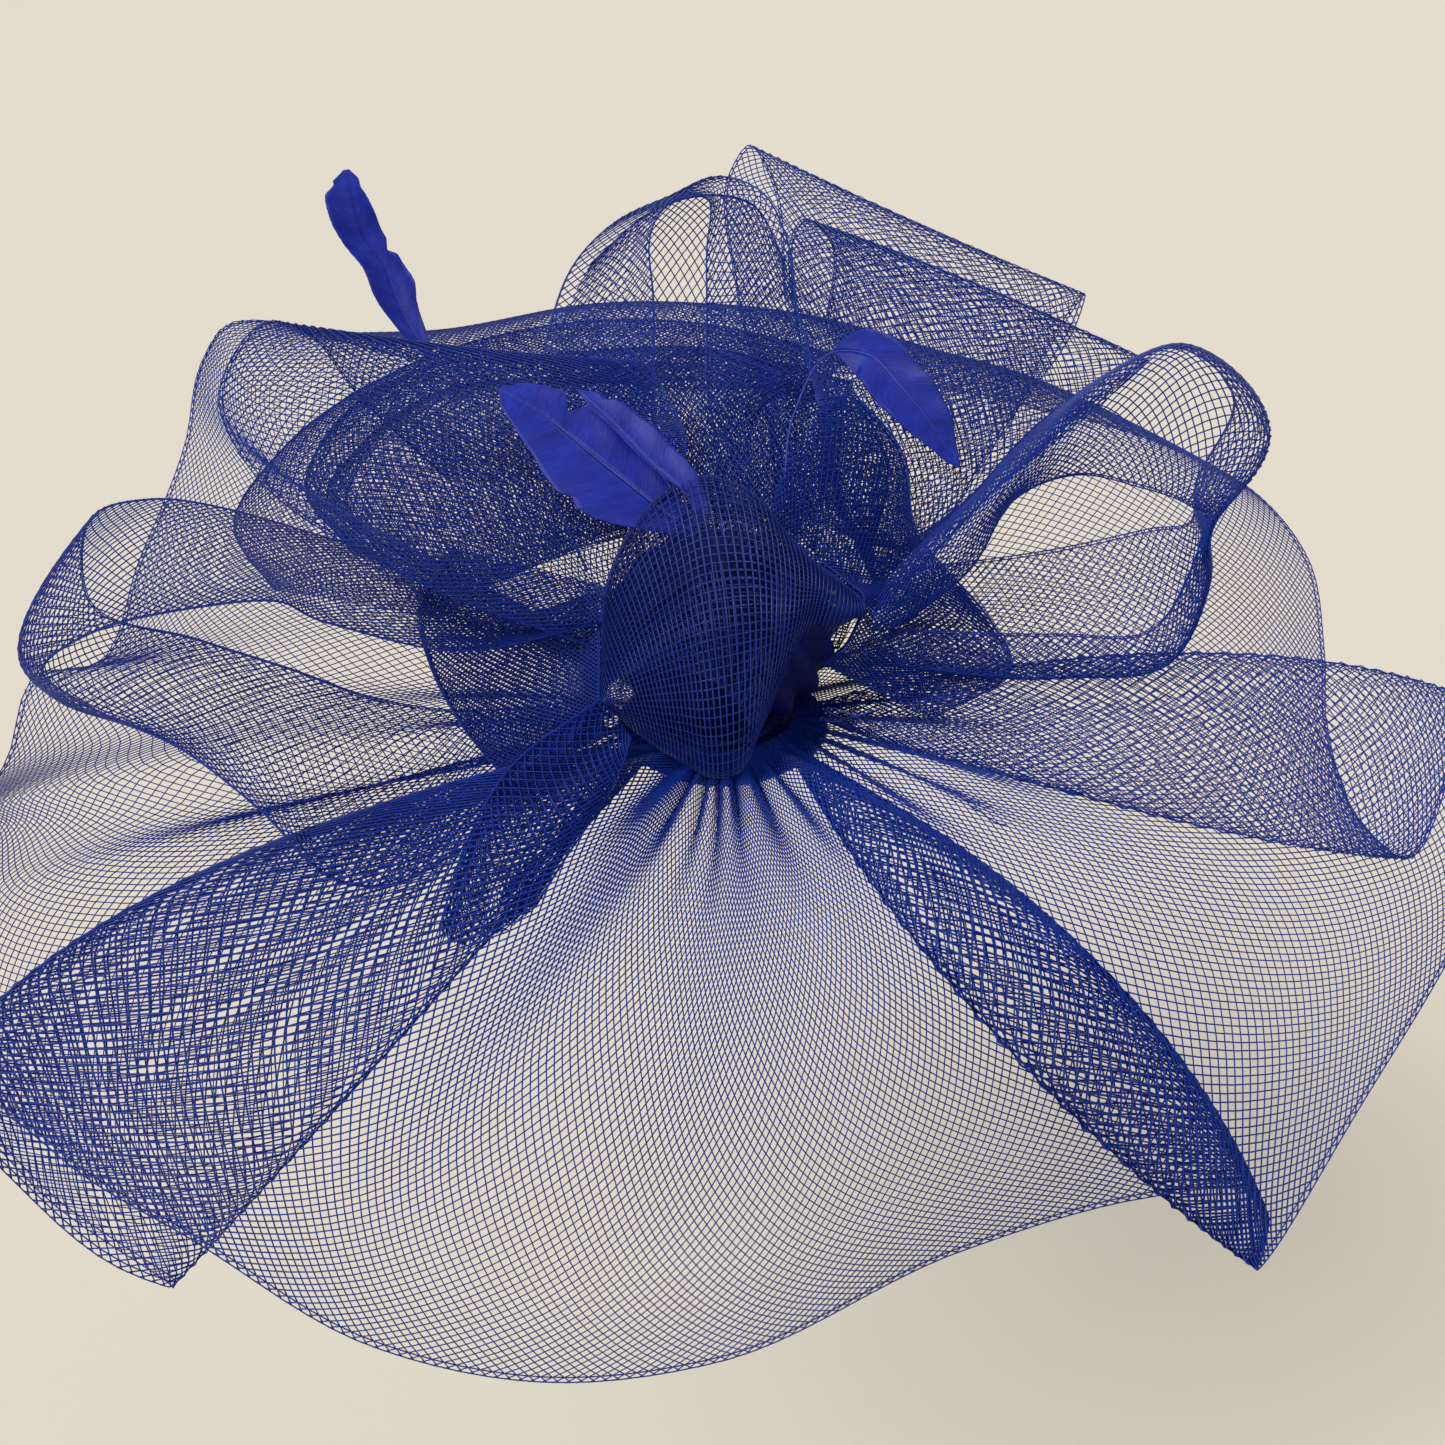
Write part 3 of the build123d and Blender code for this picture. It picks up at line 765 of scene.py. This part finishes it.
def featherVane(shape, look):
    # barb j leaves the shaft at a and leans to the tip: place = a + lean * k * (1 - a), distance = k * half width
    fine = 400
    line = smoothLine(shape["shaft"], fine)
    ahead = unit(np.gradient(line, axis=0))
    side = unit(np.cross(ahead, np.array(shape["facing"], float)))
    rise = np.cross(side, ahead)
    turn = shape["twist"] * np.linspace(-1, 1, fine)[:, None] ** 3
    side, rise = side * np.cos(turn) + rise * np.sin(turn), rise * np.cos(turn) - side * np.sin(turn)
    points, faces, uvs = [], [], []
    a = np.linspace(0, 1, look["barbs"])[:, None]
    k = np.linspace(0, 1, look["across"])[None]
    for sign, key in ((-1, "left"), (1, "right")):
        edge = a + look["lean"] * (1 - a)
        steps = np.array(shape[key], float)
        width = throughPoints(steps, np.linspace(0, 1, len(steps)), edge.ravel())[:, None]
        width = width * (1 - look["fray"] * dice.random(width.shape)) * np.clip((1.02 - a) * 14, 0, 1)
        for at, depth in [(n[1], n[2]) for n in shape["notches"] if n[0] == sign]:
            width = width * (1 - depth * np.clip(1 - np.abs(a - at) * 22, 0, 1))
        place = a + look["lean"] * k * (1 - a)
        spot = (shape["vaneFrom"] + (1 - shape["vaneFrom"]) * place) * (fine - 1)
        low = np.clip(spot.astype(int), 0, fine - 2)
        part = (spot - low)[..., None]
        blend = [field[low] * (1 - part) + field[low + 1] * part for field in (line, side, rise)]
        out = (k * width)[..., None]
        bend = shape["cup"] * out**2 / max(shape[key])
        bend = bend + look["ripple"] * k[..., None] * np.sin(a * 23 + 2 * sign)[..., None]
        points.append((blend[0] + sign * out * blend[1] + bend * blend[2]).reshape(-1, 3))
        grid = gridFaces(look["barbs"], look["across"], start=sum(len(p) for p in points[:-1]))
        faces.append(grid if sign < 0 else grid[:, ::-1])
        uvs.append(np.stack([a + 0 * k, k + 0 * a], axis=-1).reshape(-1, 2))
    return np.concatenate(points), np.concatenate(faces), np.concatenate(uvs)


def featherShaft(shape, look):
    # a round quill whose radius falls as 1 - 0.75 * s
    line = smoothLine(shape["shaft"], 70)[None]
    radius = look["shaftRadius"] * (1 - 0.75 * np.linspace(0, 1, 70))
    return threadTubes(line, np.broadcast_to(shape["facing"], line.shape), radius[None], sides=8)


for name, shape in featherShapes.items():
    points, faces, uvs = featherVane(shape, featherLook)
    vane = meshObject(name, points, faces, featherBlue, uvs)
    skin = vane.modifiers.new("thickness", "SOLIDIFY")
    skin.thickness = featherLook["thickness"] * mm
    skin.offset = 0
    quill = meshObject(name + "Quill", *featherShaft(shape, featherLook), shaftBlue)
    for piece, node in zip((vane, quill), shape["nodes"]):
        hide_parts(node)
print("feathers done")


def turned(profile, columns=180, ripple=0.0, ripples=40):
    # the profile (radius, height) turned round the Z axis, with radius * (1 + ripple * cos(ripples * a))
    profile = np.array(profile, float)
    a = np.linspace(0, 2 * pi, columns, endpoint=False)[None]
    r = profile[:, :1] * (1 + ripple * np.cos(ripples * a) * np.minimum(profile[:, :1], 1))
    points = np.stack([r * np.cos(a), r * np.sin(a), profile[:, 1:] + 0 * a], axis=-1)
    return points.reshape(-1, 3), gridFaces(len(profile), columns, closed=True)


# Binding round the base edge, gathered roots in the middle, and the turns of thread that hold them.
baseLook = {"edge": 24.0, "low": 3.0, "high": 5.0, "coreRadius": 12.0, "coreTop": 9.0}


def bindingProfile(look, count=24):
    # a flat oval ring round the edge: (edge + 0.2 + thick * cos a, middle + (half height + 0.5) * sin a)
    a = np.linspace(0, 2 * pi, count)
    middle, half = (look["low"] + look["high"]) / 2, (look["high"] - look["low"]) / 2
    return np.stack([look["edge"] - 0.6 + 2.0 * np.cos(a), middle + (half + 0.45) * np.sin(a)], axis=1)


binding = meshObject("baseBinding", *turned(bindingProfile(baseLook), 240, 0.004, 72), stiffBlue)
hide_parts("base_binding")
r, top = baseLook["coreRadius"], baseLook["coreTop"]
coreProfile = [
    (0, 5), (r + 2, 5), (r + 0.6, 5.7), (r - 0.2, 6.4), (r + 0.6, 7.4), (r + 2.5, 8.4), (r + 3, top), (0, top + 0.5),
]
# the gathered roots are real crin; their dark colour is painted shade of the bunched layers under the knot
core = meshObject("gatheredRoots", *turned(coreProfile, 220, 0.05, 34), packedCrinShade)
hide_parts("gathered_core")
turns = np.linspace(0, 1, 200)
a = turns * 2 * pi * 4
winding = np.stack([(r + 0.8) * np.cos(a), (r + 0.8) * np.sin(a), 5.7 + 1.2 * turns], axis=1)[None]
thread = meshObject("gatheringThread", *threadTubes(winding, winding * np.array([1, 1, 0]), 0.3, sides=8), knotBlue)
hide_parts("gathering_thread")

# Felt pad: a disc cut across into a front and a back part, each with its edges rounded over.
padLook = {"radius": 22.0, "thick": 3.0, "round": 0.6, "split": 4.0, "columns": 160}
padParts = {"feltPadFront": ("felt_pad_front", -1, -9.0), "feltPadBack": ("felt_pad_back", 1, 13.0)}


def partDisc(look, sign, middle):
    # outline (r cos a, r sin a held on its side of the cut), drawn in towards the middle as share * outline
    a = np.linspace(0, 2 * pi, look["columns"], endpoint=False)
    x, y = look["radius"] * np.cos(a), look["radius"] * np.sin(a)
    y = np.maximum(y, look["split"]) if sign > 0 else np.minimum(y, look["split"])
    e, high = look["round"], look["thick"]
    levels = [
        (0, 0), (e, 0), (0.3 * e, 0.3 * e), (0, e), (0, high - e), (0.3 * e, high - 0.3 * e), (e, high), (0, high),
    ]
    share = np.array([0 if k in (0, 7) else 1 - level[0] / 12 for k, level in enumerate(levels)])[:, None]
    height = np.array([level[1] for level in levels])[:, None]
    points = np.stack([share * x, middle + share * (y - middle), height + 0 * x], axis=-1)
    return points.reshape(-1, 3), gridFaces(len(levels), look["columns"], closed=True)


for name, (node, sign, middle) in padParts.items():
    pad = meshObject(name, *partDisc(padLook, sign, middle), feltBlue)
    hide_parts(node)

# Stitches that hold the clip: each is a loop of thread over the edge of the clip plate and up into the felt.
stitchLook = {"places": (-15.5, -3.0), "middle": 9.0, "radius": 0.3}


def stitchLoops(look):
    lines = []
    for x in look["places"]:
        for side in (-1, 1):
            y = look["middle"]
            stops = ((x - 0.4, y + side * 2.8, -0.9), (x - 0.3, y + side * 3.2, -1.3), (x, y + side * 4.0, -1.2),
                     (x + 0.2, y + side * 4.4, -0.7), (x + 0.3, y + side * 4.3, 0.4))
            lines.append(smoothLine(stops, 24))
    lines = np.stack(lines)
    return threadTubes(lines, np.broadcast_to([1.0, 0.0, 0.05], lines.shape), look["radius"], sides=8)


stitches = meshObject("clipStitches", *stitchLoops(stitchLook), knotBlue)
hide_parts("clip_stitches")
print("base and clip done")

# Floor, light and camera.
stageLook = {"floorHeight": -0.34, "floorSize": 60.0}
mesh = bpy.data.meshes.new("paleFloor")
half, low = stageLook["floorSize"] / 2, stageLook["floorHeight"]
mesh.from_pydata([(-half, -half, low), (half, -half, low), (half, half, low), (-half, half, low)], [], [(0, 1, 2, 3)])
floor = bpy.data.objects.new("paleFloor", mesh)
bpy.context.scene.collection.objects.link(floor)
floorPaint, floorTree, floorShader = startMaterial("palePaint")
floorShader.inputs["Base Color"].default_value = (0.80, 0.745, 0.64, 1)
floorShader.inputs["Roughness"].default_value = 0.9
mesh.materials.append(floorPaint)

world = bpy.data.worlds.new("softRoom")
bpy.context.scene.world = world
world.use_nodes = True
world.node_tree.nodes["Background"].inputs["Color"].default_value = (0.86, 0.85, 0.83, 1)
world.node_tree.nodes["Background"].inputs["Strength"].default_value = 0.55
bpy.context.scene.view_settings.view_transform = "Standard"

sunLooks = {
    "windowSun": {"from": (-0.8, -0.5, 1.2), "angle": 30, "strength": 1.5, "colour": (1.0, 0.97, 0.92)},
    "backSun": {"from": (0.5, 1.0, 1.0), "angle": 40, "strength": 0.6, "colour": (0.95, 0.97, 1.0)},
}
for name, lamp in sunLooks.items():
    data = bpy.data.lights.new(name, "SUN")
    data.energy, data.angle, data.color = lamp["strength"], radians(lamp["angle"]), lamp["colour"]
    sun = bpy.data.objects.new(name, data)
    bpy.context.scene.collection.objects.link(sun)
    sun.rotation_euler = (-Vector(lamp["from"])).to_track_quat("-Z", "Y").to_euler()

cameraLook = {"at": (0, -0.285, 0.182), "down": 32.0, "lens": 34.65}
cameraData = bpy.data.cameras.new("camera")
cameraData.lens = cameraLook["lens"]
cameraData.sensor_width = 36
cameraData.clip_start = 0.01
camera = bpy.data.objects.new("camera", cameraData)
bpy.context.scene.collection.objects.link(camera)
camera.location = cameraLook["at"]
camera.rotation_euler = (radians(90 - cameraLook["down"]), 0, 0)
bpy.context.scene.camera = camera
print("stage done")
